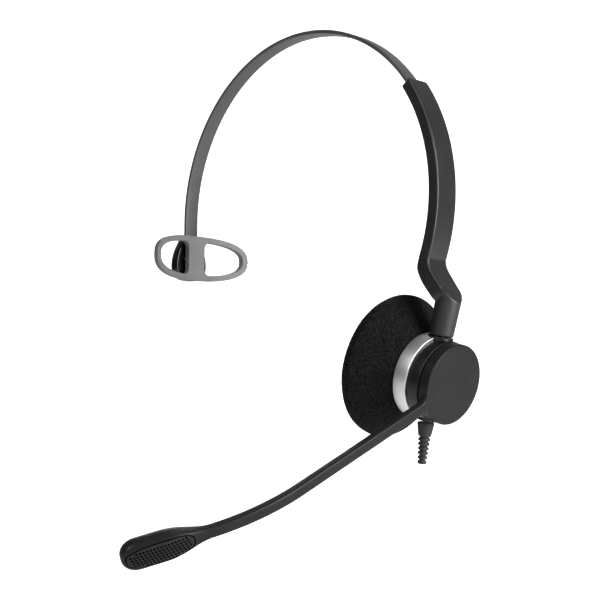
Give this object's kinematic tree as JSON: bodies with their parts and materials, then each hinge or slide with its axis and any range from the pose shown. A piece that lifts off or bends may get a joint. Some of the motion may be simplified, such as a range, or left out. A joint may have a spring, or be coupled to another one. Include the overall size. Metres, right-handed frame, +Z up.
{
  "type": "office headset",
  "caption": "Single-ear office headset: sprung band with temple rest, sliding arm, swivelling foam ear cup and rotating microphone boom.",
  "frame": {"origin": "centre of the headband's arc, inside the wearer's head", "axes": "+X to the wearer's left, where the ear cup is, -Y forwards, +Z up"},
  "size_m": [0.1506, 0.1448, 0.1955],
  "materials": {
    "band": "satin dark grey coated spring steel",
    "gloss_black": "polished black",
    "grey_rubber": "matte grey soft-touch",
    "steel": "plain steel",
    "brass": "turned brass",
    "copper": "enamelled copper wire",
    "arm": "matte dark grey, fine moulded grain",
    "drum_black": "satin black",
    "silver": "satin silver",
    "rubber": "matte black",
    "magnet": "dark plated",
    "film": "thin satin film",
    "felt": "dark felt",
    "foam": "open-cell black foam",
    "board": "green board",
    "lead_red": "red insulation",
    "lead_black": "black insulation",
    "boom": "matte dark grey, fine moulded grain"
  },
  "bodies": {
    "headband": {"headband_strip": "band", "travel_stop_stud": "steel", "temple_bracket": "gloss_black", "bracket_rivet_1": "steel", "bracket_rivet_2": "steel", "temple_pivot_pin": "steel"},
    "temple_pad": {"temple_rest": "grey_rubber"},
    "slider_arm": {"arm_shell": "arm", "arm_inner_cover": "arm", "arm_cover_screw_1": "steel", "arm_cover_screw_2": "steel", "arm_friction_spring": "steel", "neck_bush": "brass"},
    "ear_cup": {"drum_housing": "drum_black", "silver_ring": "silver", "swivel_collar": "drum_black", "swivel_washer": "rubber", "swivel_stem": "steel", "stem_clip": "steel", "boom_bush": "brass", "relief_socket": "drum_black", "strain_relief": "rubber", "cord_clamp": "steel", "speaker_housing": "drum_black", "housing_screw_1": "steel", "housing_screw_2": "steel", "housing_screw_3": "steel", "housing_screw_4": "steel", "baffle_plate": "drum_black", "speaker_basket": "steel", "speaker_magnet": "magnet", "voice_coil": "copper", "speaker_diaphragm": "film", "speaker_grille": "drum_black", "damping_felt": "felt", "circuit_board": "board", "speaker_lead_1": "lead_red", "speaker_lead_2": "lead_red", "ear_cushion": "foam"},
    "boom": {"boom_arm": "boom", "boom_channel_cover": "boom", "mic_panel": "boom", "mic_rear_panel": "boom", "wind_foam": "foam", "mic_capsule": "steel", "mic_boot": "rubber", "boom_lead": "lead_black", "boom_shaft": "steel", "boom_clip": "steel", "boom_friction_ring": "rubber"}
  },
  "joints": [
    {"name": "temple_rest_tilt", "type": "hinge", "parent": "headband", "child": "temple_pad", "pos_m": [-0.0667, 0, -0.0159], "axis": [0, 1, 0], "range_deg": [-8, 8]},
    {"name": "size_adjust", "type": "hinge", "parent": "headband", "child": "slider_arm", "pos_m": [0, 0, 0], "axis": [0, 1, 0], "range_deg": [-10, 17]},
    {"name": "ear_cup_swivel", "type": "hinge", "parent": "slider_arm", "child": "ear_cup", "pos_m": [0.06483, 0, -0.06696], "axis": [0.2538, 0, 0.9673], "range_deg": [-25, 25]},
    {"name": "boom_spin", "type": "hinge", "parent": "ear_cup", "child": "boom", "pos_m": [0.0745, 0, -0.0695], "axis": [0.9673, 0, -0.2538], "continuous": true}
  ]
}
